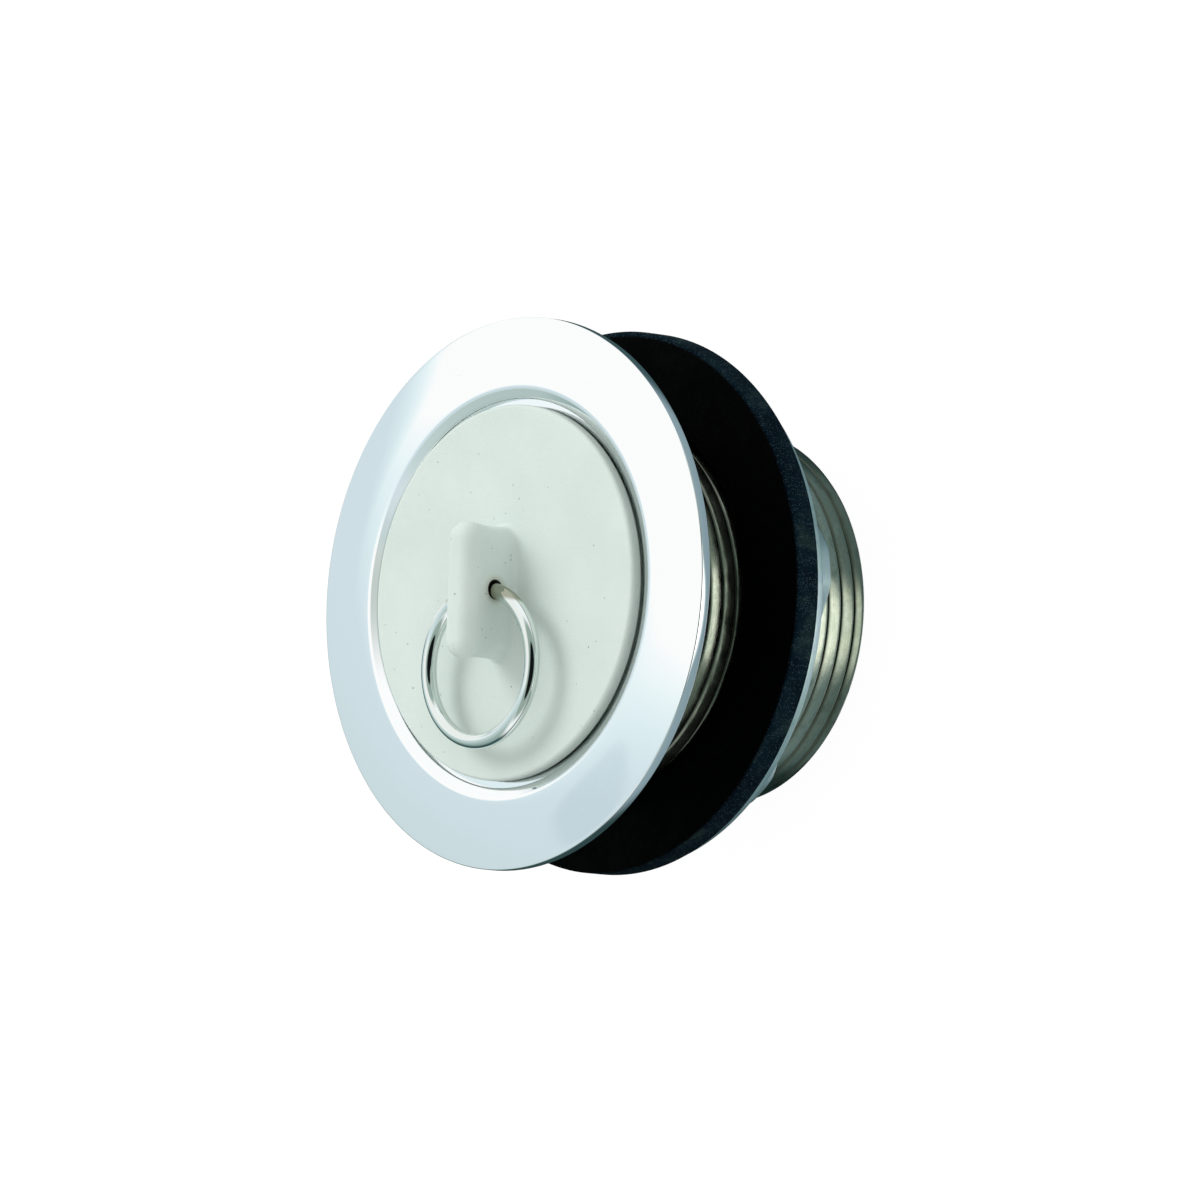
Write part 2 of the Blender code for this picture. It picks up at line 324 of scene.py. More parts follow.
# %% [markdown]
# ## Plated thread
#
# The tube was plated but not polished. Its metal is a warm grey with olive and brown tints, and it
# carries fine marks that run round with the lathe. Its grooves are painted nearly black, a painted
# shade with some dirt in it. The mesh hands over an attribute called `groove`, 0 on the crests and 1
# at the bottom of a groove, so the painted shade follows the thread exactly.

# %% Plated thread
def plated_thread():
    """Grey metal with olive and brown patches, marks that run round, and grooves painted dark as painted
    shade with some dirt.
    """
    made, tree, shader, place = finish("plated thread", (0.60, 0.64, 0.56), 0.3, 1.0)
    patches = noise(tree, place, 0.35, 4.0, 0.6, (1, 1, 1.6))
    stops = [
        (0.30, (0.44, 0.48, 0.40)), (0.46, (0.66, 0.70, 0.61)),
        (0.58, (0.56, 0.62, 0.53)), (0.72, (0.78, 0.82, 0.76)),
    ]
    tint = ramp(tree, patches, stops)
    marks = noise(tree, place, 1.0, 3.0, 0.7, (0.12, 0.12, 14))
    marked = blend(tree, fade(tree, marks, 0.45, 0.75, 0.0, 0.35), tint, (0.24, 0.26, 0.21))
    height = add(tree, "SeparateXYZ", place, out=2)
    worn = blend(tree, fade(tree, height, 0.5 * MM, 8 * MM), (0.38, 0.405, 0.36), (0.78, 0.79, 0.75))
    groove = add(tree, "Attribute", attribute_name="groove", out=2)
    dulled = blend(tree, 1.0, marked, worn, "MULTIPLY")
    # Painted shade: towards the bottom of each groove the colour goes nearly black, with some dirt.
    dirt_and_painted_shade = blend(tree, calc(tree, "MULTIPLY", groove, 0.9), dulled, (0.03, 0.04, 0.03))
    tree.links.new(dirt_and_painted_shade, shader.inputs["Base Color"])
    uneven = fade(tree, patches, 0.3, 0.7, 0.14, 0.24)
    rough = calc(tree, "ADD", uneven, calc(tree, "MULTIPLY", groove, 0.1))
    tree.links.new(rough, shader.inputs["Roughness"])
    grain = bump(tree, shader, noise(tree, place, 7.0, 3.0), 0.000004)
    bump(tree, shader, marks, 0.000006, grain)
    return made


thread_metal = plated_thread()

# %% [markdown]
# ## The waste body
#
# The flange, the seat for the plug and the threaded tube are one casting, so they are one mesh.
# Most of it is a turned profile. The thread is different: its ridge climbs by one pitch on every
# turn. If the rows of the grid stayed level, each ridge would show as a staircase. Here the rows
# climb with the thread, so row i at the end of a turn meets row i + (rows per pitch) at its
# start. The rows begin below the tail's end and stop above the boss, and are held at those two
# heights, so the groove runs out through the end of the tube as it does when it is cut.
#
# Round the opening the face dips in a narrow cone, the lip, and a small shelf below it closes
# most of the gap round the plug. The two catch the light as thin bands, so they are drawn as
# separate straight lines of the profile and not as one round edge.
#
# The depth of the surface across one pitch is a short list: a broad crest that leans back
# towards the flange, a slanting flank, and a narrow rounded groove. It has two columns of depths,
# one for the thread near the flange and one for the worn thread near the tail.

# %% Sizes of the flange, the seat and the bore
FIT_GAP = 0.3 * MM
BORE_RADIUS = 20.4 * MM
BORE_EDGE = 0.3 * MM
BORE_FOOT = TAIL + 0.5 * MM
SEAT_FOOT_RADIUS = 21.35 * MM
SEAT_NECK_RADIUS = 22.2 * MM
LIP_INNER_RADIUS = 24.65 * MM
LIP_WIDTH = 1.25 * MM
LIP_DROP = 0.47 * MM
LIP_EDGE = 0.25 * MM
LIP_STEP = 0.03 * MM
SHELF_DEPTH = 1.25 * MM
SHELF_RADIUS = 23.75 * MM
FLANGE_CONE = 0.65 * MM
FACE_BOW = 1.4
FLANGE_RIM = 1.4 * MM
RIM_ROUND = 0.15 * MM
BOSS_RADIUS = 25.5 * MM
BOSS_DEPTH = 2.0 * MM
THREAD_RADIUS = 24.0 * MM
EDGE_CHAMFER = 0.3 * MM
TAIL_EDGE = 0.12 * MM
PLUG_HEAD = 4.6 * MM
PLUG_BODY = 8.2 * MM
PLUG_PROUD = 0.75 * MM
PLUG_FACE = LIP_TOP + PLUG_PROUD
PLUG_NECK = PLUG_FACE - PLUG_HEAD
LEDGE = GRID_FOOT - FIT_GAP
RIM_FRONT = LIP_TOP - FLANGE_CONE
UNDERSIDE = RIM_FRONT - FLANGE_RIM
COLUMNS = 288
print(f"flange edge {1000 * FLANGE_RIM:.1f} mm thick, its underside at {1000 * UNDERSIDE:.2f} mm")

# %% Sizes of the thread
PITCH = 2.309 * MM
PHASE = -0.37 * MM
LAPS = 17
RUN_OUT = 1.2 * MM
WORN_TOP = 10 * MM
WEAR_FADE = 8 * MM
RAGGED_DEPTHS = (0.3, 0.6)
RAGGED = 0.04
GROOVE_START = 0.34
GROOVE_SPAN = 0.35
PROFILE_MM = np.array(
    [
        (0.00, 0.030, 0.020), (0.08, 0.010, 0.008), (0.25, 0.030, 0.015), (0.60, 0.100, 0.045),
        (0.95, 0.175, 0.085), (1.30, 0.265, 0.135), (1.50, 0.325, 0.170), (1.62, 0.385, 0.195),
        (1.72, 0.465, 0.220), (1.80, 0.540, 0.250), (1.88, 0.610, 0.320), (1.96, 0.650, 0.390),
        (2.04, 0.600, 0.400), (2.12, 0.440, 0.290), (2.20, 0.240, 0.150), (2.26, 0.100, 0.060),
    ]
)
print(f"{1000 * PITCH:.3f} mm per turn, grooves up to {PROFILE_MM[:, 1].max():.2f} mm deep")


# %% The turned part of the waste body
def body_profile():
    """From the tube's end up the bore, over the seat, lip and face, round the rim, to the thread."""
    rim = FLANGE_RADIUS - RIM_ROUND
    crest = LIP_INNER_RADIUS + LIP_WIDTH
    share = np.linspace(0, 1, 20)[1:-1]
    face = np.stack([crest + share * (rim - crest), LIP_TOP - FLANGE_CONE * share**FACE_BOW], 1)
    boss_foot = UNDERSIDE - BOSS_DEPTH
    shelf = LIP_TOP - SHELF_DEPTH
    lip_foot = LIP_TOP - LIP_DROP
    parts = [
        arc((BORE_RADIUS + BORE_EDGE, TAIL + BORE_EDGE), BORE_EDGE, 270, 180, 3),
        line((BORE_RADIUS, BORE_FOOT), (BORE_RADIUS, LEDGE), 8),
        line((BORE_RADIUS, LEDGE), (SEAT_FOOT_RADIUS, LEDGE), 2, (False, True)),
        line((SEAT_FOOT_RADIUS, LEDGE), (SEAT_FOOT_RADIUS, PLUG_FOOT), 2, (False, True)),
        line((SEAT_FOOT_RADIUS, PLUG_FOOT), (SEAT_NECK_RADIUS, PLUG_NECK), 4, (False, True)),
        line((SEAT_NECK_RADIUS, PLUG_NECK), (SHELF_RADIUS, shelf), 5, (False, True)),
        line((SHELF_RADIUS, shelf), (LIP_INNER_RADIUS, shelf), 2, (False, True)),
        arc((LIP_INNER_RADIUS + LIP_EDGE, lip_foot - LIP_EDGE), LIP_EDGE, 180, 110, 5),
        line((LIP_INNER_RADIUS + LIP_EDGE, lip_foot + LIP_STEP), (crest, LIP_TOP), 8),
        face,
        arc((rim, RIM_FRONT - RIM_ROUND), RIM_ROUND, 90, 0, 6),
        arc((rim, UNDERSIDE + RIM_ROUND), RIM_ROUND, 0, -90, 5),
        line((rim, UNDERSIDE), (BOSS_RADIUS, UNDERSIDE), 8, (False, True)),
        line((BOSS_RADIUS, UNDERSIDE), (BOSS_RADIUS, boss_foot + EDGE_CHAMFER), 2, (False, True)),
        line((BOSS_RADIUS - EDGE_CHAMFER, boss_foot), (THREAD_RADIUS, boss_foot), 2, (True, False)),
    ]
    return np.vstack(parts)


# %% The thread's rows
def smooth_step(value):
    """0 below 0, 1 above 1, and 3v^2 - 2v^3 between."""
    value = np.clip(value, 0, 1)
    return value * value * (3 - 2 * value)


def thread_rows():
    """Helical rows: z climbs by one pitch per turn and is held between the tail and the boss.

    The radius is the crest's less the depth of the profile at that phase, and never more than the
    broken edge at the tail. The depth is mixed from the two columns, and fades away at the boss.
    A slight wobble makes the flanks ragged. The groove's share is 0 up to a third of the deepest
    point's depth and 1 from 0.7 of it.
    """
    top = UNDERSIDE - BOSS_DEPTH
    turn = 2 * np.pi * np.arange(COLUMNS) / COLUMNS
    offset = np.append(np.tile(PROFILE_MM[:, 0] * MM, LAPS), 0.0)
    lap = np.append(np.repeat(np.arange(LAPS), len(PROFILE_MM)), LAPS) - 1
    climb = (PHASE + lap * PITCH + offset)[:, None] + PITCH * turn / (2 * np.pi)
    height = np.clip(climb, TAIL, top)
    phase = ((height - PHASE) / PITCH - turn / (2 * np.pi)) % 1 * PITCH / MM
    fresh, worn = (np.interp(phase, PROFILE_MM[:, 0], PROFILE_MM[:, k], period=PITCH / MM) for k in (1, 2))
    share = smooth_step((height - WORN_TOP) / WEAR_FADE)
    depth = worn + share * (fresh - worn)
    deepest_fresh, deepest_worn = PROFILE_MM[:, 1:].max(0)
    deepest = deepest_worn + share * (deepest_fresh - deepest_worn)
    wobble = np.random.default_rng(4).normal(0, 1, (len(offset), COLUMNS + 8))
    wobble = np.stack([wobble[:, k : k + COLUMNS] for k in range(9)]).mean(0)
    ragged = np.where((depth > RAGGED_DEPTHS[0]) & (depth < RAGGED_DEPTHS[1]), RAGGED * wobble, 0)
    kept = smooth_step((top - height) / RUN_OUT)
    radius = THREAD_RADIUS - (depth + ragged) * kept * MM
    radius = np.minimum(radius, THREAD_RADIUS - TAIL_EDGE + height - TAIL)
    points = np.stack([radius * np.cos(turn), radius * np.sin(turn), height], 2)
    return points, smooth_step((depth / deepest - GROOVE_START) / GROOVE_SPAN) * kept


# %% Join the thread to the turned part
def waste_body():
    """Turned rows, then the thread's rows from the boss down to the tail's end.

    Past the last column the climbing rows meet the rows one pitch further on. Rows that were held
    at the tail or the boss lie on one another there, and merging their points closes the surface.
    """
    upper = turned(body_profile(), COLUMNS)
    thread, groove = thread_rows()
    up = grid_numbers(*upper.shape[:2])
    helix = grid_numbers(*thread.shape[:2], up.size)
    per_pitch = len(PROFILE_MM)

    faces = quads(up)
    plain = len(faces)
    climb = np.stack([helix[:-1, :-1], helix[:-1, 1:], helix[1:, 1:], helix[1:, :-1]], 2)
    near, far = helix[:-per_pitch, -1], helix[per_pitch:, 0]
    seam = np.stack([near[:-1], far[:-1], far[1:], near[1:]], 1)
    faces += climb.reshape(-1, 4).tolist() + seam.tolist()
    faces += quads(np.stack([helix[-1], up[-1]])) + quads(np.stack([up[0], helix[0]]))

    points = np.concatenate([upper.reshape(-1, 3), thread.reshape(-1, 3)])
    mesh = bpy.data.meshes.new("flanged_waste")
    mesh.from_pydata(points, [], faces)
    depth = np.concatenate([np.zeros(up.size), groove.ravel()])
    mesh.attributes.new("groove", "FLOAT", "POINT").data.foreach_set("value", depth)
    mesh.polygons.foreach_set("material_index", (np.arange(len(faces)) >= plain).astype(int))
    return closed_piece("flanged_waste", mesh)


waste = waste_body()
settle(waste, "waste", "waste_body", "body_chrome", flange_chrome, thread_metal)
smooth_by_angle(waste, 50)

# %% [markdown]
# ## The strainer plate
#
# Under the plug lies a round plate of stainless sheet with holes for the water. A punched hole
# has softened edges, so the cutter that makes it is shaped like an hourglass: wider at the two
# faces of the plate than in the middle.

# %% Strainer plate
HOLE_RADIUS = 2.3 * MM
HOLE_CIRCLES = ((0.0, 1), (7.2 * MM, 6), (14.4 * MM, 12))
HOLE_SIDES = 40
HOLE_EDGE = 0.35 * MM
PLATE_EDGE = 0.3 * MM
PLATE_MIDDLE = 0.4 * MM


def plate_profile():
    """From the centre of the underside to the centre of the top, over a rounded edge."""
    flat = GRID_RADIUS - PLATE_EDGE
    return np.vstack(
        [
            line((PLATE_MIDDLE, GRID_FOOT), (flat, GRID_FOOT), 6, (True, False)),
            arc((flat, GRID_FOOT + PLATE_EDGE), PLATE_EDGE, 270, 360, 4),
            arc((flat, GRID_TOP - PLATE_EDGE), PLATE_EDGE, 0, 90, 4),
            line((flat, GRID_TOP), (PLATE_MIDDLE, GRID_TOP), 6, (False, True)),
        ]
    )


def hole_cutters():
    """Hourglass cutters: the radius grows by a quarter circle towards each face of the plate."""
    middle, half = (GRID_FOOT + GRID_TOP) / 2, (GRID_TOP - GRID_FOOT) / 2
    height = np.array([-2.0, -1.0, -0.9, -0.75, -0.55, 0.0, 0.55, 0.75, 0.9, 1.0, 2.0]) * half
    reach = np.clip(np.abs(height) - (half - HOLE_EDGE), 0, HOLE_EDGE)
    radius = HOLE_RADIUS + HOLE_EDGE - np.sqrt(HOLE_EDGE**2 - reach**2)
    one = turned(np.stack([radius, middle + height], 1), HOLE_SIDES)
    angles = np.concatenate([2 * np.pi * np.arange(n) / n for _, n in HOLE_CIRCLES])
    circle = np.concatenate([np.full(n, r) for r, n in HOLE_CIRCLES])
    places = np.stack([circle * np.cos(angles), circle * np.sin(angles), 0 * circle], 1)
    faces = []
    for first in range(0, len(places) * one[..., 0].size, one[..., 0].size):
        faces += capped_faces(grid_numbers(*one.shape[:2], first))
    return make_piece("strainer_holes", (places[:, None, None] + one).reshape(-1, 3), faces)


# %% Pressed steel, and the plate
def pressed_steel():
    """Brushed sheet: fine lines along X over a soft cloud of roughness."""
    made, tree, shader, place = finish("pressed steel", (0.60, 0.61, 0.62), 0.28, 1.0)
    brushed = noise(tree, place, 1.0, 3.0, 0.6, (0.15, 9, 9))
    tree.links.new(fade(tree, brushed, 0.3, 0.7, 0.22, 0.42), shader.inputs["Roughness"])
    tone = ramp(tree, brushed, [(0.3, (0.50, 0.51, 0.52)), (0.7, (0.68, 0.69, 0.70))])
    tree.links.new(tone, shader.inputs["Base Color"])
    bump(tree, shader, brushed, 0.00001)
    return made


strainer = capped_piece("strainer_plate", turned(plate_profile(), 160))
cut(strainer, hole_cutters())
settle(strainer, "waste", "strainer_grid", "grid_steel", pressed_steel())
smooth_by_angle(strainer, 40)

# %% [markdown]
# ## The rubber plug
#
# The plug and its pull lug are one moulding, so there is no seam between them. One grid covers
# both. Its rows start as circles under the plug, climb its flared side, cross the face, and
# there change little by little into a rounded rectangle, which rises as the lug. A rounded
# rectangle is a small rectangle whose points are pushed out along their normals: how far they
# are pushed, the growth, makes the fillet at the root, a slight waist and the rounded tip.
#
# The face ends in a bead, a low round edge that stands out over the flared side. The side tucks
# in under it, so the bead casts the dark line that runs round the plug.

# %% Sizes of the plug
PLUG_COLUMNS = 320
PLUG_NECK_RADIUS = 21.9 * MM
PLUG_FOOT_RADIUS = 21.05 * MM
PLUG_EDGE = 0.5 * MM
FOOT_EDGE = 0.35 * MM
BEAD_DEPTH = 1.65 * MM
BEAD_FOOT = 0.25 * MM
BEAD_NECK_RADIUS = 23.1 * MM
FOOT_LAND = 1.5 * MM
HOLLOW_MIDDLE = 0.5 * MM
HOLLOW_RADIUS = 17.55 * MM
HOLLOW_DEPTH = 6.2 * MM
HOLLOW_ROUND = 0.9 * MM
HOLLOW_EDGE = 0.4 * MM
LUG_CORNER = 2.4 * MM
LUG_HALF_WIDTH = 2.65 * MM
LUG_HALF_LENGTH = 8.7 * MM
LUG_FILLET = 0.65 * MM
LUG_ROUND = 2.0 * MM
LUG_TUCK = 0.3 * MM
LUG_FLARE = 0.24 * MM
LUG_WAIST = 0.2 * MM
LUG_LEAN = 0.10
LUG_HEIGHT = LUG_TIP - PLUG_FACE
LUG_SHIFT = -0.2 * MM
TIP_MIDDLE = 0.3 * MM
EYE_RIM = 0.10 * MM
EYE_RIM_RADIUS = 1.55 * MM
EYE_RIM_WIDTH = 0.4 * MM
print(f"plug {2000 * PLUG_RADIUS:.1f} mm across, lug {1000 * LUG_HEIGHT:.1f} mm high")


# %% Outline of the lug
def lug_outline():
    """Inner rectangle, unit normal and polar angle for each column, evenly spaced along the outline."""
    a, b, quarter = LUG_HALF_WIDTH - LUG_CORNER, LUG_HALF_LENGTH - LUG_CORNER, LUG_CORNER * np.pi / 2
    lengths = [b, quarter, 2 * a, quarter, 2 * b, quarter, 2 * a, quarter, b]
    knots = np.concatenate([[0], np.cumsum(lengths)])
    along = knots[-1] * np.arange(PLUG_COLUMNS) / PLUG_COLUMNS
    x = np.interp(along, knots, [a, a, a, -a, -a, -a, -a, a, a, a])
    y = np.interp(along, knots, [0, b, b, b, b, -b, -b, -b, -b, 0]) + LUG_SHIFT
    angle = np.radians(np.interp(along, knots, [0, 0, 90, 90, 180, 180, 270, 270, 360, 360]))
    normal = np.stack([np.cos(angle), np.sin(angle)], 1)
    rectangle = np.stack([x, y], 1)
    edge = rectangle + (LUG_CORNER + LUG_FILLET) * normal
    return rectangle, normal, np.unwrap(np.arctan2(edge[:, 1], edge[:, 0]))


# %% The plug's hollow, foot, side and bead
def plug_circles():
    """From the middle of the hollow, round the foot, up the flared side, over the bead, swept round Z."""
    foot = PLUG_FACE - PLUG_HEAD - PLUG_BODY
    ceiling = foot + HOLLOW_DEPTH
    bead = PLUG_FACE - BEAD_DEPTH
    wall = HOLLOW_RADIUS - HOLLOW_ROUND
    profile = [
        line((HOLLOW_MIDDLE, ceiling), (wall - HOLLOW_ROUND, ceiling), 5, (True, False)),
        arc((wall - HOLLOW_ROUND, ceiling - HOLLOW_ROUND), HOLLOW_ROUND, 90, 0, 4),
        line((wall, ceiling - 2 * HOLLOW_ROUND), (HOLLOW_RADIUS, foot + HOLLOW_EDGE), 3),
        arc((HOLLOW_RADIUS + HOLLOW_EDGE, foot + HOLLOW_EDGE), HOLLOW_EDGE, 190, 270, 3),
        arc((PLUG_FOOT_RADIUS - FOOT_EDGE, foot + FOOT_EDGE), FOOT_EDGE, 270, 360, 5),
        line((PLUG_FOOT_RADIUS, foot + FOOT_LAND), (PLUG_NECK_RADIUS, PLUG_NECK), 5),
        line((PLUG_NECK_RADIUS, PLUG_NECK), (BEAD_NECK_RADIUS, bead), 5, (False, True)),
        arc((PLUG_RADIUS - BEAD_FOOT, bead + BEAD_FOOT), BEAD_FOOT, 270, 360, 5),
        arc((PLUG_RADIUS - PLUG_EDGE, PLUG_FACE - PLUG_EDGE), PLUG_EDGE, 0, 90, 8),
    ]
    return turned(np.vstack(profile), PLUG_COLUMNS)


# %% The plug's face
def face_rows(rectangle, normal, polar):
    """Rows across the face: (1 - s) times the circle plus s times the lug's root, as s goes to 1.

    On the way the angle of each column slides from its even place on the circle to the angle that
    it has on the lug's outline, so that the rows don't twist.
    """
    even = 2 * np.pi * np.arange(PLUG_COLUMNS) / PLUG_COLUMNS
    share = 1 - (1 - np.linspace(0, 1, 26)[1:, None]) ** 1.7
    angle = (1 - smooth_step(share * 1.4)) * even + smooth_step(share * 1.4) * polar
    root = rectangle + (LUG_CORNER + LUG_FILLET - LUG_TUCK) * normal
    rim = PLUG_RADIUS - PLUG_EDGE
    x = (1 - share) * rim * np.cos(angle) + share * root[:, 0]
    y = (1 - share) * rim * np.sin(angle) + share * root[:, 1]
    return np.stack([x, y, 0 * x + PLUG_FACE], 2)


# %% The lug's levels
def lug_rows(rectangle, normal):
    """Levels of the lug: rectangle + (corner + growth) * normal, for pairs of growth and height.

    The growth runs down a fillet, in and out again for the waist, by a sine, and over the rounded
    tip. The sides lean in by a tenth. A raised rim lies round the cross hole: a bell curve of the
    distance from the hole's axis.
    """
    side_top = LUG_HEIGHT - LUG_ROUND
    rise = np.linspace(0, 1, 15)[1:, None]
    waist = -LUG_WAIST * np.sin(np.pi * rise) - LUG_TUCK + LUG_FLARE * rise
    levels = np.vstack(
        [
            arc((LUG_FILLET - LUG_TUCK, LUG_FILLET), LUG_FILLET, 270, 180, 9)[1:],
            np.hstack([waist, LUG_FILLET + rise * (side_top - LUG_FILLET)]),
            arc((LUG_FLARE - LUG_TUCK - LUG_ROUND, side_top), LUG_ROUND, 0, 90, 10)[1:],
            [(TIP_MIDDLE - LUG_CORNER, LUG_HEIGHT)],
        ]
    )
    growth, height = levels[:, :1], levels[:, 1:]
    lean = 1 - LUG_LEAN * np.clip(height / LUG_HEIGHT, 0, 1)
    x = (rectangle[:, 0] + (LUG_CORNER + growth) * normal[:, 0]) * lean
    y = rectangle[:, 1] + (LUG_CORNER + growth) * normal[:, 1]
    from_axis = np.hypot(y, height - (EYE_Z - PLUG_FACE))
    x += np.sign(x) * EYE_RIM * np.exp(-(((from_axis - EYE_RIM_RADIUS) / EYE_RIM_WIDTH) ** 2))
    return np.stack([x, y, 0 * x + PLUG_FACE + height], 2)


# %% The cross hole
EYE_RADIUS = 1.21 * MM
EYE_EDGE = 0.2 * MM
EYE_REACH = 2.42 * MM


def eye_cutter():
    """A round bar along X for the cross hole, its radius growing by a quarter circle at the lug's sides."""
    side = EYE_REACH / MM
    across = np.array([-6.0, -side, -2.37, -2.3, -2.2, 0.0, 2.2, 2.3, 2.37, side, 6.0]) * MM
    reach = np.clip(np.abs(across) - (EYE_REACH - EYE_EDGE), 0, EYE_EDGE)
    radius = EYE_RADIUS + EYE_EDGE - np.sqrt(EYE_EDGE**2 - reach**2)
    bar = turned(np.stack([radius, across], 1), 48)
    return capped_piece("eye_cutter", np.stack([bar[..., 2], bar[..., 0], bar[..., 1] + EYE_Z], 2))


# %% [markdown]
# ## Moulded off-white rubber
#
# Rubber of this kind is matt and faintly uneven. Light goes a little way into it, so its
# shadows are soft. It carries small dark specks of dirt, rarer than the eye expects: a cell
# pattern gives each speck its place, and a random number per cell leaves most of them out. Round
# the cross hole the ring has left an olive stain, and the wall of the hole is painted near black,
# a painted shade.

# %% Rubber of the plug
def specks(tree, place, spacing, size, share):
    """Dots of a given size in mm at random places, shown only in a share of the cells."""
    cells = tree.nodes.new("ShaderNodeTexVoronoi")
    size_of_cells = (1 / spacing / MM,) * 3
    mapped = add(tree, "Mapping", place, (0, 0, 0), (0, 0, 0), size_of_cells)
    tree.links.new(mapped, cells.inputs["Vector"])
    cells.inputs["Scale"].default_value = 1.0
    dot = fade(tree, cells.outputs["Distance"], 0.6 * size / spacing, size / spacing, 1.0, 0.0)
    lot = add(tree, "SeparateColor", cells.outputs["Color"])
    return calc(tree, "MULTIPLY", dot, calc(tree, "LESS_THAN", lot, share))


def off_white_rubber():
    """Pale grey-green rubber with soft clouds, fine grain and a few dark specks."""
    made, tree, shader, place = finish("off-white rubber", (0.72, 0.785, 0.74), 0.5)
    cloud = noise(tree, place, 0.09, 3.0, 0.55)
    tone = ramp(tree, cloud, [(0.35, (0.675, 0.775, 0.72)), (0.65, (0.72, 0.81, 0.765))])
    away = from_eye_axis(tree, place)
    tone = blend(tree, fade(tree, away, 1.3 * MM, 2.2 * MM, 0.45, 0.0), tone, (0.44, 0.44, 0.30))
    # Painted shade: the wall of the cross hole is painted near black.
    tone = blend(tree, fade(tree, away, 1.2 * MM, 1.32 * MM, 1.0, 0.0), tone, (0.03, 0.03, 0.02))
    dirt = calc(tree, "MAXIMUM", specks(tree, place, 1.1, 0.11, 0.16), specks(tree, place, 2.3, 0.17, 0.10))
    dirt_and_painted_shade = blend(tree, calc(tree, "MULTIPLY", dirt, 0.55), tone, (0.16, 0.17, 0.15))
    tree.links.new(dirt_and_painted_shade, shader.inputs["Base Color"])
    grain = noise(tree, place, 3.2, 3.0, 0.6)
    tree.links.new(fade(tree, grain, 0.3, 0.7, 0.44, 0.60), shader.inputs["Roughness"])
    shader.inputs["Subsurface Weight"].default_value = 0.15
    shader.inputs["Subsurface Radius"].default_value = (1.0, 0.9, 0.8)
    shader.inputs["Subsurface Scale"].default_value = 0.8 * MM
    first = bump(tree, shader, grain, 0.00004)
    second = bump(tree, shader, cloud, 0.0001, first)
    bump(tree, shader, calc(tree, "MULTIPLY", dirt, -1.0), 0.00008, second)
    return made


# %% The plug in one piece
rectangle, normal, polar = lug_outline()
rows = [plug_circles(), face_rows(rectangle, normal, polar), lug_rows(rectangle, normal)]
plug = capped_piece("rubber_plug", np.concatenate(rows))
cut(plug, eye_cutter())
settle(plug, "plug", "stopper_plug", "plug_rubber", off_white_rubber())
smooth_by_angle(plug, 50)

# %% [markdown]
# ## The pull ring
#
# The ring is a round wire bent into a circle. A circle carried round a larger circle is a
# torus. Its near side passes through the lug's hole, about which it swings. The wire is bowed
# there, so half of the bow lies on each side of the hole's axis and none of it cuts the rubber.

# %% Pull ring
RING_RADIUS = 9.6 * MM
WIRE_RADIUS = 1.0 * MM
RING_SAG = 0.07 * MM


def wire_ring():
    """Torus: points R + r cos t from the ring's centre, at height r sin t."""
    low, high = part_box("pull_ring")
    wire = arc((RING_RADIUS, EYE_Z), WIRE_RADIUS, 0, 360, 32)[:-1]
    piece = ring_piece("wire_ring", wire, 288, (low.y + high.y) / 2 - RING_SAG)
    piece.data.shade_smooth()
    return piece


settle(wire_ring(), "ring", "pull_ring", "ring_chrome", ring_chrome)

# %% [markdown]
# ## The sealing washer
#
# A thick ring of black rubber, cut from a moulded tube. Its faces are a little uneven and its
# edges barely broken. Its hole is a little wider than the thread, so it lies slightly off the
# axis. Matt black rubber is hard to show: without fine grain and a few pale specks of bloom it
# becomes a hole in the picture. Its outer edge is painted a lighter blue-grey, a painted light,
# and its faces are painted nearer black, a painted shade.

# %% Washer and its rubber
WASHER_SHIFT = 0.3 * MM
WASHER_CLEAR = 0.35 * MM
WASHER_EDGE = 0.35 * MM
WASHER_HOLE_EDGE = 0.2 * MM


def washer_profile():
    """A flat ring's section with lightly rounded edges."""
    near = THREAD_RADIUS + WASHER_CLEAR + WASHER_HOLE_EDGE
    far = WASHER_RADIUS - WASHER_EDGE
    return np.vstack(
        [
            arc((near, WASHER_FOOT + WASHER_HOLE_EDGE), WASHER_HOLE_EDGE, 270, 180, 3),
            arc((near, WASHER_TOP - WASHER_HOLE_EDGE), WASHER_HOLE_EDGE, 180, 90, 3),
            line((near, WASHER_TOP), (far, WASHER_TOP), 10, (False, False)),
            arc((far, WASHER_TOP - WASHER_EDGE), WASHER_EDGE, 90, 0, 5),
            arc((far, WASHER_FOOT + WASHER_EDGE), WASHER_EDGE, 0, -90, 5),
            line((far, WASHER_FOOT), (near, WASHER_FOOT), 10, (False, False)),
        ]
    )


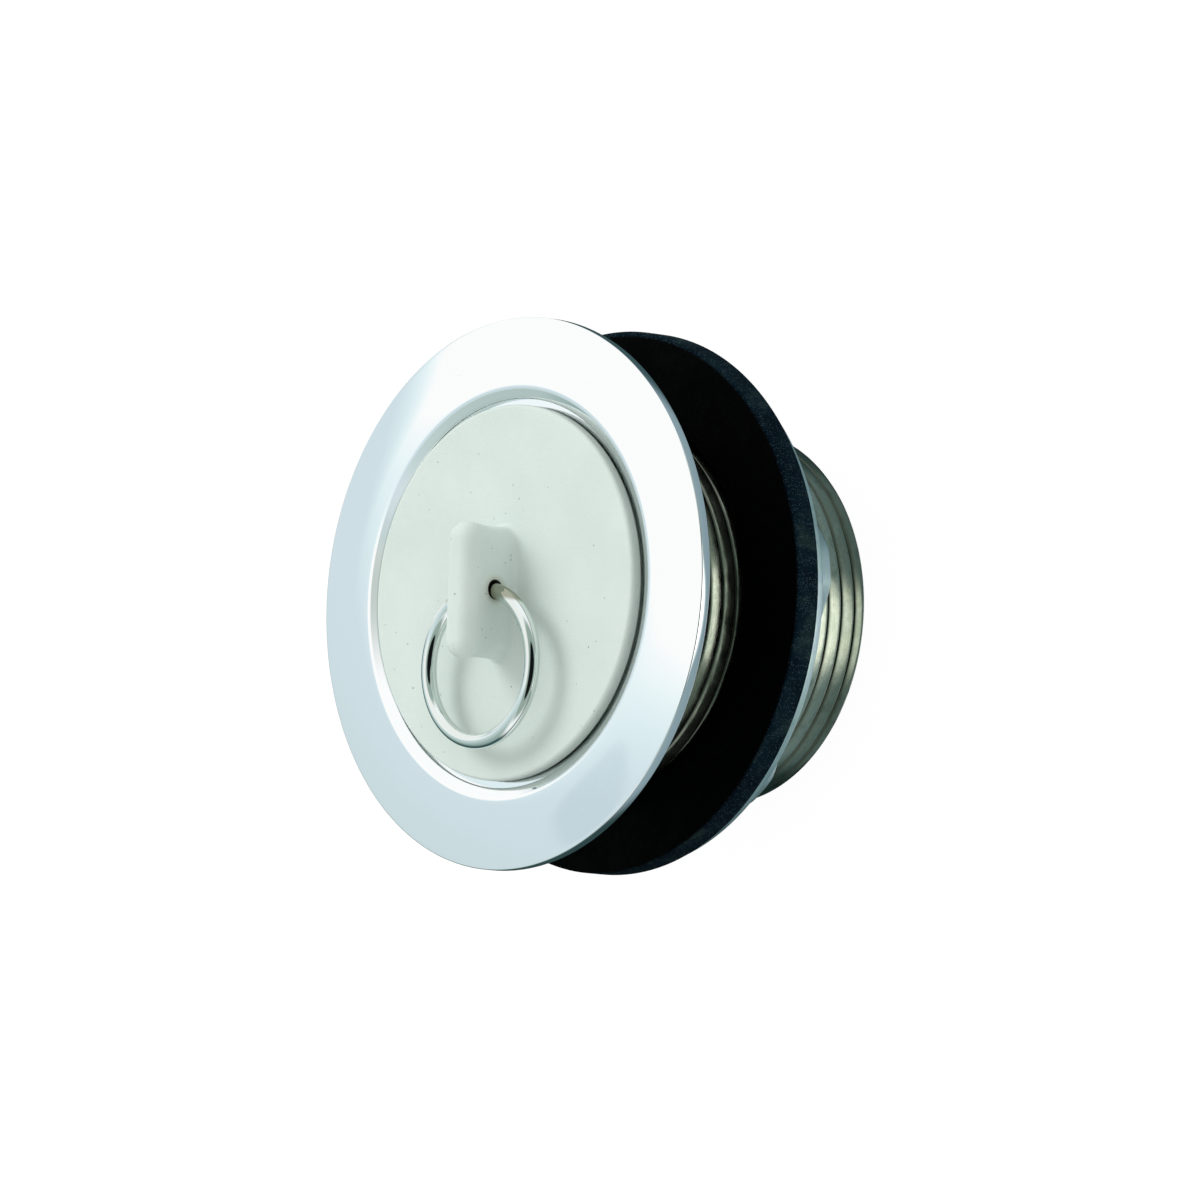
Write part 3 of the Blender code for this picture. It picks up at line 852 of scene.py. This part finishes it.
# %% Black rubber
def black_rubber():
    """Deep black rubber: fine grain, broad unevenness, an outer edge painted lighter as painted light, with
    pale specks, and faces painted nearer black as painted shade.
    """
    made, tree, shader, place = finish("black rubber", (0.001, 0.003, 0.006), 0.6)
    shader.inputs["Specular IOR Level"].default_value = 0.02
    grain = noise(tree, place, 6.0, 3.0, 0.7)
    cloud = noise(tree, place, 0.25, 3.0, 0.6)
    # Painted light and shade: past 34 mm from the axis the outer edge gets a lighter blue-grey tone, and
    # the faces within it are painted nearer black.
    from_axis = add(tree, "VectorMath", place, (1.0, 1.0, 0.0), operation="MULTIPLY")
    rim = fade(tree, add(tree, "VectorMath", from_axis, operation="LENGTH", out=1), 34 * MM, 34.5 * MM)
    fine, coarse = specks(tree, place, 0.23, 0.085, 0.5), specks(tree, place, 0.9, 0.12, 0.25)
    dust = calc(tree, "MAXIMUM", fine, coarse)
    stops = [(0.40, (0.0012, 0.006, 0.012)), (0.56, (0.003, 0.012, 0.019)), (0.68, (0.012, 0.026, 0.028))]
    painted_edge_light = ramp(tree, cloud, stops)
    edge = blend(tree, calc(tree, "MULTIPLY", dust, 0.6), painted_edge_light, (0.06, 0.10, 0.12))
    tree.links.new(blend(tree, rim, (0.0003, 0.0004, 0.0005), edge), shader.inputs["Base Color"])
    tree.links.new(fade(tree, cloud, 0.3, 0.7, 0.45, 0.68), shader.inputs["Roughness"])
    first = bump(tree, shader, grain, 0.00006)
    bump(tree, shader, cloud, 0.0002, first)
    return made


washer = ring_piece("sealing_washer", washer_profile(), 256, WASHER_SHIFT)
settle(washer, "washer", "rubber_washer", "washer_rubber", black_rubber())
smooth_by_angle(washer, 50)

# %% [markdown]
# ## The backnut
#
# A hexagonal nut with a thin round flange, which presses on the washer. Its corners were turned
# off, so its outline is a flat's straight line or, where that lies further out, a circle. The
# grid's rows are circles over the flange and take the hexagon's outline below it.

# %% Backnut
NUT_COLUMNS = 480
NUT_FLANGE = 1.6 * MM
NUT_FLAT = 27.6 * MM
NUT_CORNER = 30.5 * MM
NUT_TURN = 9.0
NUT_EDGE = 0.35 * MM
NUT_FILLET = 0.6 * MM
NUT_BEVEL = 0.5 * MM


def hexagon_radius():
    """Distance from the axis: flat / cos(a) at an angle a from the flat's middle, at most the corner's."""
    turn = np.degrees(2 * np.pi * np.arange(NUT_COLUMNS) / NUT_COLUMNS) - NUT_TURN
    from_flat = np.radians(turn % 60 - 30)
    outline = np.minimum(NUT_FLAT / np.cos(from_flat), NUT_CORNER)
    kernel = np.array([1, 2, 3, 4, 3, 2, 1]) / 16
    return np.convolve(np.concatenate([outline[-3:], outline, outline[:3]]), kernel, "valid")


def backnut():
    """Section rows of the nut: circles from the hole over the flange, then the hexagon down to the foot."""
    hole, under = THREAD_RADIUS + FIT_GAP, NUT_TOP - NUT_FLANGE
    near, far = hole + NUT_EDGE, NUT_RADIUS - NUT_EDGE
    circles = np.vstack(
        [
            arc((near, NUT_FOOT + NUT_EDGE), NUT_EDGE, 270, 180, 3),
            line((hole, NUT_FOOT + 2 * NUT_EDGE), (hole, NUT_TOP - 2 * NUT_EDGE), 4),
            arc((near, NUT_TOP - NUT_EDGE), NUT_EDGE, 180, 90, 3),
            line((near, NUT_TOP), (far, NUT_TOP), 6, (False, False)),
            arc((far, NUT_TOP - NUT_EDGE), NUT_EDGE, 90, 0, 5),
            arc((far, under + NUT_EDGE), NUT_EDGE, 0, -90, 5),
        ]
    )
    root = arc((NUT_FILLET, under - NUT_FILLET), NUT_FILLET, 90, 180, 5)
    foot = arc((-NUT_BEVEL, NUT_FOOT + NUT_BEVEL), NUT_BEVEL, 0, -90, 5)
    section = np.vstack([root, foot])
    turn = 2 * np.pi * np.arange(NUT_COLUMNS) / NUT_COLUMNS
    radius = hexagon_radius() + section[:, :1]
    hexagons = np.stack([radius * np.cos(turn), radius * np.sin(turn), section[:, 1:] + 0 * turn], 2)
    points = np.concatenate([turned(circles, NUT_COLUMNS), hexagons])
    numbers = grid_numbers(*points.shape[:2])
    return make_piece("hexagonal_backnut", points, quads(np.vstack([numbers, numbers[:1]])))


# %% Zinc plate
def zinc_plate():
    """Blue-passivated zinc: pale blue-grey metal with faint violet and green clouds."""
    made, tree, shader, place = finish("zinc plate", (0.60, 0.72, 0.71), 0.38, 1.0)
    cloud = noise(tree, place, 0.2, 3.0, 0.6)
    stops = [
        (0.30, (0.52, 0.64, 0.64)), (0.50, (0.60, 0.74, 0.71)),
        (0.62, (0.55, 0.66, 0.72)), (0.75, (0.68, 0.80, 0.77)),
    ]
    tone = ramp(tree, cloud, stops)
    tree.links.new(tone, shader.inputs["Base Color"])
    grain = noise(tree, place, 5.0, 3.0)
    tree.links.new(fade(tree, cloud, 0.3, 0.7, 0.30, 0.45), shader.inputs["Roughness"])
    bump(tree, shader, grain, 0.00003)
    return made


nut = backnut()
settle(nut, "nut", "backnut", "nut_zinc", zinc_plate())
smooth_by_angle(nut, 35)

# %% [markdown]
# ## Floor, light and what the metal sees
#
# The background is white, so the floor and the world are white to the camera. Chrome has no
# colour of its own: it shows the room. So the reflections look up a small painted room by
# direction.
#
# Behind the object the room has a bright card above a blue-grey wall, which darkens towards the
# horizon, a white screen beside the wall, and one faint streak that crosses the flange. In front
# it has a blue-grey floor, a pale table, one warm lamp low down, and a dark patch where the
# camera stands, inside a grey-green halo. The halo greys what faces the camera on the ring and
# the lip.
#
# The plug sits in its seat with the lug turned by two degrees from the camera's level. It is the
# camera, the lamp and the room that are turned here, and the lug stays on its axis.

# %% Directions in the room
STUDIO_TURN = math.radians(-2.0)
CAMERA_SIDE = (0.732, -0.056, 0.679)
WARM_LAMP = (0.945, -0.06, -0.32)
TABLE = (0.10, -0.12, -0.988)
STREAK = (-0.666, -0.06, 0.744)
WHITE_SCREEN = (1.02, 1.02, 1.01)


def direction_share(tree, sight, towards, start, end):
    """1 where a direction lies close to another, from the cosines start to end."""
    return fade(tree, add(tree, "VectorMath", sight, towards, operation="DOT_PRODUCT", out=1), start, end)


# %% The room behind the object
def room_behind(tree, sight, x, y, z):
    """A wall coloured by the lesser of two measures, darker low down, a white screen and a streak."""
    card = add(tree, "VectorMath", sight, (0.0, 1.15, 0.65), operation="DOT_PRODUCT", out=1)
    edge = add(tree, "MapRange", x, -0.831, -0.731, 0.41, 0.81)
    wall = ramp(
        tree,
        add(tree, "MapRange", calc(tree, "MINIMUM", card, edge), -0.5, 0.75, 0.0, 1.0),
        [
            (0.10, (0.38, 0.48, 0.46)), (0.45, (0.54, 0.65, 0.63)), (0.688, (0.649, 0.757, 0.796)),
            (0.736, (0.663, 0.764, 0.811)), (0.76, (0.70, 0.811, 0.853)), (0.784, (0.761, 0.88, 0.903)),
            (0.80, (0.817, 0.921, 0.938)), (0.812, (0.885, 0.965, 0.973)), (0.824, (0.963, 0.99, 1.0)),
            (0.836, (1.035, 1.025, 1.005)),
        ],
    )
    low = ramp(
        tree,
        add(tree, "MapRange", z, -0.2, 0.5, 0.0, 1.0),
        [
            (0.0, (0.08, 0.13, 0.14)), (0.30, (0.13, 0.20, 0.21)),
            (0.62, (0.58, 0.68, 0.68)), (0.9, (1.0, 1.0, 1.0)),
        ],
    )
    behind = blend(tree, 1.0, wall, low, "MULTIPLY")
    corner = calc(tree, "MULTIPLY", fade(tree, x, -0.85, -0.93), fade(tree, y, 0.08, 0.22))
    beside = calc(tree, "MAXIMUM", fade(tree, y, 0.34, 0.5), corner)
    beside = calc(tree, "MULTIPLY", beside, fade(tree, z, -0.5, -0.35))
    behind = blend(tree, beside, behind, WHITE_SCREEN)
    streak = direction_share(tree, sight, STREAK, 0.9991, 0.9998)
    return blend(tree, calc(tree, "MULTIPLY", streak, 0.2), behind, (0.30, 0.42, 0.48))


# %% The room in front of the object
def room_in_front(tree, sight, z):
    """A floor coloured by height, with the lamp, the table, and the camera's dark patch in its halo."""
    floor_tone = ramp(
        tree,
        add(tree, "MapRange", z, -0.75, 0.1, 0.0, 1.0),
        [
            (0.0, (0.24, 0.33, 0.37)), (0.29, (0.28, 0.38, 0.42)), (0.53, (0.24, 0.29, 0.27)),
            (0.80, (0.26, 0.30, 0.26)), (1.0, (1.05, 1.06, 1.08)),
        ],
    )
    warm = direction_share(tree, sight, WARM_LAMP, 0.88, 0.96)
    front = blend(tree, warm, floor_tone, (2.0, 2.0, 1.92))
    table = direction_share(tree, sight, TABLE, 0.94, 0.975)
    front = blend(tree, table, front, (1.0, 1.02, 1.05))
    halo = direction_share(tree, sight, CAMERA_SIDE, 0.48, 0.70)
    front = blend(tree, halo, front, (0.36, 0.45, 0.41))
    lens = direction_share(tree, sight, CAMERA_SIDE, 0.84, 0.885)
    return blend(tree, lens, front, (0.006, 0.007, 0.008))


# %% World
def white_room():
    """World: white to the camera, even light for matt surfaces, a painted room for reflections."""
    world = bpy.data.worlds.new("white room")
    bpy.context.scene.world = world
    world.use_nodes = True
    tree = world.node_tree
    tree.nodes.clear()
    sight = add(tree, "Mapping", add(tree, "TexCoord", out=0), (0, 0, 0), (0, 0, -STUDIO_TURN))
    parts = tree.nodes.new("ShaderNodeSeparateXYZ")
    tree.links.new(sight, parts.inputs[0])
    x, y, z = parts.outputs

    behind, front = room_behind(tree, sight, x, y, z), room_in_front(tree, sight, z)
    room = blend(tree, fade(tree, x, -0.25, 0.1), behind, front)
    rays = tree.nodes.new("ShaderNodeLightPath")
    even = blend(tree, rays.outputs["Is Glossy Ray"], (0.72, 0.72, 0.72), room)
    seen = blend(tree, rays.outputs["Is Camera Ray"], even, (1.0, 1.0, 1.0))
    light = add(tree, "Background", seen, 1.0)
    output = tree.nodes.new("ShaderNodeOutputWorld")
    tree.links.new(light, output.inputs["Surface"])
    print(f"room: {len(tree.nodes)} nodes")


white_room()


# %% Floor
FLOOR_RADIUS = 3.0
FLOOR_DROP = 0.1 * MM
FLOOR_SIDES = 96


def pale_floor():
    """A white disc just under the tail, bright to the camera, with a tenth of real shading."""
    made, tree, shader, _ = finish("pale floor", (0.85, 0.85, 0.85), 0.9)
    rays = tree.nodes.new("ShaderNodeLightPath")
    glow = add(tree, "Emission", (1.0, 1.0, 1.0, 1.0), 1.06)
    matt = add(tree, "BsdfDiffuse", (0.95, 0.95, 0.95, 1.0))
    share = calc(tree, "MULTIPLY", rays.outputs["Is Camera Ray"], 0.90)
    mixed = add(tree, "MixShader", share, matt, glow)
    tree.links.new(mixed, tree.nodes["Material Output"].inputs["Surface"])
    tree.nodes.remove(shader)
    disc = bpy.data.meshes.new("floor")
    points = turned(np.array([(FLOOR_RADIUS, -FLOOR_DROP)]), FLOOR_SIDES)[0]
    disc.from_pydata(points, [], [list(range(FLOOR_SIDES))])
    disc.materials.append(made)
    floor = bpy.data.objects.new("floor", disc)
    bpy.context.scene.collection.objects.link(floor)
    floor.visible_glossy = False


pale_floor()

# %% [markdown]
# ## Key light and camera
#
# One broad soft lamp gives the shadow of the ring and lug on the plug. The photograph was taken
# from far away with a long lens, from 43 degrees above the flange and rolled so that the drain
# axis points to the left. The camera's three axes are set directly.

# %% Turning the lamp and the camera with the studio
def about_axis(vector):
    """A direction or place turned with the studio: x cos t - y sin t, x sin t + y cos t, z."""
    x, y, z = vector
    c, s = math.cos(STUDIO_TURN), math.sin(STUDIO_TURN)
    return np.array([c * x - s * y, s * x + c * y, z])


def axes_matrix(back, up_hint, place):
    """A camera's or lamp's matrix: its Z looks back, its Y is as near as possible to the hint."""
    back, up_hint, place = about_axis(back), about_axis(up_hint), about_axis(place)
    back /= np.linalg.norm(back)
    right = np.cross(up_hint, back)
    right /= np.linalg.norm(right)
    up = np.cross(back, right)
    rows = [[right[i], up[i], back[i], place[i]] for i in range(3)]
    return rows + [[0.0, 0.0, 0.0, 1.0]]


# %% Key light
KEY_FROM = np.array([-0.496, 0.477, 0.725])
KEY_POWER = 1.25
KEY_DISC = math.radians(30)


def key_light():
    """A sun lamp with a wide disc, which casts soft shadows."""
    lamp = bpy.data.lights.new("key", "SUN")
    lamp.energy, lamp.angle = KEY_POWER, KEY_DISC
    key = bpy.data.objects.new("key", lamp)
    bpy.context.scene.collection.objects.link(key)
    key.matrix_world = Matrix(axes_matrix(KEY_FROM, (0, 0, 1), KEY_FROM))
    key.visible_glossy = False


key_light()

# %% Camera
CAMERA_PLACE = np.array([0.9903, -0.0759, 0.9414])
CAMERA_BACK = np.array([0.73226, -0.05643, 0.67866])
LENS = 319.3


def photo_camera():
    """A long lens at the photograph's angle."""
    data = bpy.data.cameras.new("camera")
    data.lens, data.sensor_width, data.clip_end = LENS, 36.0, 20.0
    camera = bpy.data.objects.new("camera", data)
    bpy.context.scene.collection.objects.link(camera)
    up = np.cross(CAMERA_BACK, (1.0, 0.0, 0.0))
    camera.matrix_world = Matrix(axes_matrix(CAMERA_BACK, up, CAMERA_PLACE))
    bpy.context.scene.camera = camera
    print(f"camera {np.linalg.norm(CAMERA_PLACE):.2f} m away, lens {LENS} mm")


photo_camera()
bpy.context.scene.view_settings.view_transform = "Standard"
